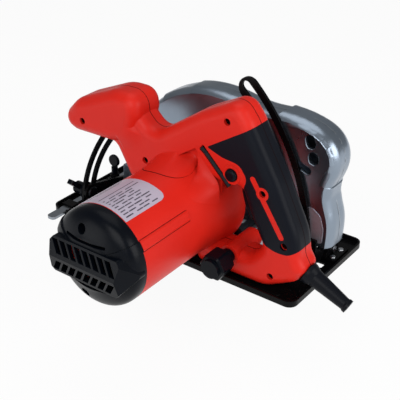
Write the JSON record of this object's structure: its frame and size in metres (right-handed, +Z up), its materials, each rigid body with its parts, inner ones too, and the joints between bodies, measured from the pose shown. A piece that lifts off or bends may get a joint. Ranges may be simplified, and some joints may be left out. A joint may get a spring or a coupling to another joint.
{
  "type": "circular saw",
  "caption": "Hand-held circular saw with a cast blade guard, motor across the shoe, rear grip with front horn, tilting shoe, depth bar, spring lower guard and rip fence.",
  "frame": {"origin": "middle of the shoe's underside, the face that slides on the work", "axes": "+X cutting direction, +Y towards the motor, +Z up from the shoe"},
  "size_m": [0.3397, 0.291, 0.2414],
  "materials": {
    "red_housing": "satin moulded nylon, fine grain",
    "black_plastic": "satin moulded nylon",
    "soft_grip": "soft matt overmould",
    "boot_rubber": "matt rubber",
    "cast_aluminium": "die cast, silver lacquer",
    "black_steel": "gloss black enamel on pressed steel",
    "zinc_steel": "zinc plated",
    "bright_steel": "ground steel",
    "blade_steel": "ground blade steel",
    "black_oxide": "black oxide",
    "lamination_steel": "stacked sheet, varnished",
    "copper": "enamelled copper",
    "brass": "drawn brass",
    "carbon": "pressed carbon"
  },
  "bodies": {
    "shoe": {"shoe_plate": "black_steel", "bevel_quadrant": "black_steel", "rear_upright": "black_steel", "shoe_rivets": "zinc_steel", "bevel_pins": "zinc_steel", "fence_bridges": "black_steel"},
    "tilt_frame": {"front_yoke": "black_steel", "depth_pin": "zinc_steel", "bevel_bolt": "zinc_steel", "rear_yoke": "black_steel", "depth_bar": "black_steel", "bar_rivets": "zinc_steel"},
    "saw_body": {"upper_guard": "cast_aluminium", "gear_case": "cast_aluminium", "bearing_plate": "cast_aluminium", "case_screws": "zinc_steel", "spindle_bearing": "bright_steel", "front_bearing": "bright_steel", "rear_bearing": "bright_steel", "spindle_bush": "brass", "guard_spring": "bright_steel", "motor_housing": "red_housing", "end_cap": "black_plastic", "cap_screws": "zinc_steel", "stator_core": "lamination_steel", "field_coils": "copper", "fan_baffle": "black_plastic", "brush_holders": "brass", "carbon_brushes": "carbon", "handle_left": "red_housing", "handle_right": "red_housing", "handle_screws": "zinc_steel", "grip_left": "soft_grip", "grip_right": "soft_grip", "switch_block": "black_plastic", "hex_key": "black_oxide", "cord_boot": "boot_rubber", "clamp_plate": "black_steel", "clamp_spring": "bright_steel"},
    "spindle": {"spindle": "bright_steel", "drive_gear": "bright_steel", "inner_flange": "bright_steel", "outer_flange": "bright_steel", "blade_bolt": "bright_steel", "saw_blade": "blade_steel"},
    "armature": {"armature_shaft": "bright_steel", "armature_core": "lamination_steel", "armature_windings": "copper", "commutator": "copper", "cooling_fan": "black_plastic"},
    "lower_guard": {"lower_guard": "zinc_steel", "guard_lever": "black_plastic"},
    "trigger": {"trigger": "black_plastic"},
    "lock_button": {"lock_button": "black_plastic"},
    "depth_knob": {"depth_knob": "black_plastic"},
    "bevel_knob": {"bevel_knob": "black_plastic"},
    "rip_fence": {"rip_fence": "zinc_steel"},
    "fence_screw": {"fence_screw": "black_plastic"}
  },
  "joints": [
    {"name": "bevel_tilt", "type": "hinge", "parent": "shoe", "child": "tilt_frame", "pos_m": [0, -0.033, 0.008], "axis": [1, 0, 0], "range_deg": [0, 45]},
    {"name": "depth_swing", "type": "hinge", "parent": "tilt_frame", "child": "saw_body", "pos_m": [0.095, 0, 0.014], "axis": [0, 1, 0], "range_deg": [0, 36]},
    {"name": "blade_spin", "type": "hinge", "parent": "saw_body", "child": "spindle", "pos_m": [-0.00799, 0, 0.033], "axis": [0, 1, 0], "continuous": true},
    {"name": "armature_spin", "type": "hinge", "parent": "saw_body", "child": "armature", "pos_m": [-0.0184, 0, 0.0598], "axis": [0, 1, 0], "continuous": true},
    {"name": "guard_lift", "type": "hinge", "parent": "saw_body", "child": "lower_guard", "pos_m": [-0.00799, 0, 0.033], "axis": [0, 1, 0], "range_deg": [0, 115], "stiffness_Nm_per_rad": 0.2, "springref_deg": -68.75},
    {"name": "trigger_pull", "type": "hinge", "parent": "saw_body", "child": "trigger", "pos_m": [-0.089, 0.043, 0.104], "axis": [0, 1, 0], "range_deg": [0, 9], "stiffness_Nm_per_rad": 0.6, "springref_deg": -17.19},
    {"name": "lock_press", "type": "slide", "parent": "saw_body", "child": "lock_button", "axis": [0, -1, 0], "range_m": [0, 0.004], "stiffness_N_per_m": 500, "springref_m": -0.004},
    {"name": "depth_clamp", "type": "hinge", "parent": "saw_body", "child": "depth_knob", "pos_m": [-0.075, 0, 0.027], "axis": [0, 1, 0], "range_deg": [0, 180]},
    {"name": "bevel_clamp", "type": "hinge", "parent": "tilt_frame", "child": "bevel_knob", "pos_m": [0.12, 0.04074, 0.02167], "axis": [1, 0, 0], "range_deg": [-40, 60]},
    {"name": "fence_slide", "type": "slide", "parent": "shoe", "child": "rip_fence", "axis": [0, 1, 0], "range_m": [-0.07, 0.025]},
    {"name": "fence_clamp", "type": "hinge", "parent": "shoe", "child": "fence_screw", "pos_m": [0.133, -0.017, 0.01], "axis": [0, 0, 1], "range_deg": [0, 180]}
  ],
  "couplings": [
    {"joint": "armature_spin", "follows": "blade_spin", "ratio": -4.1111}
  ]
}
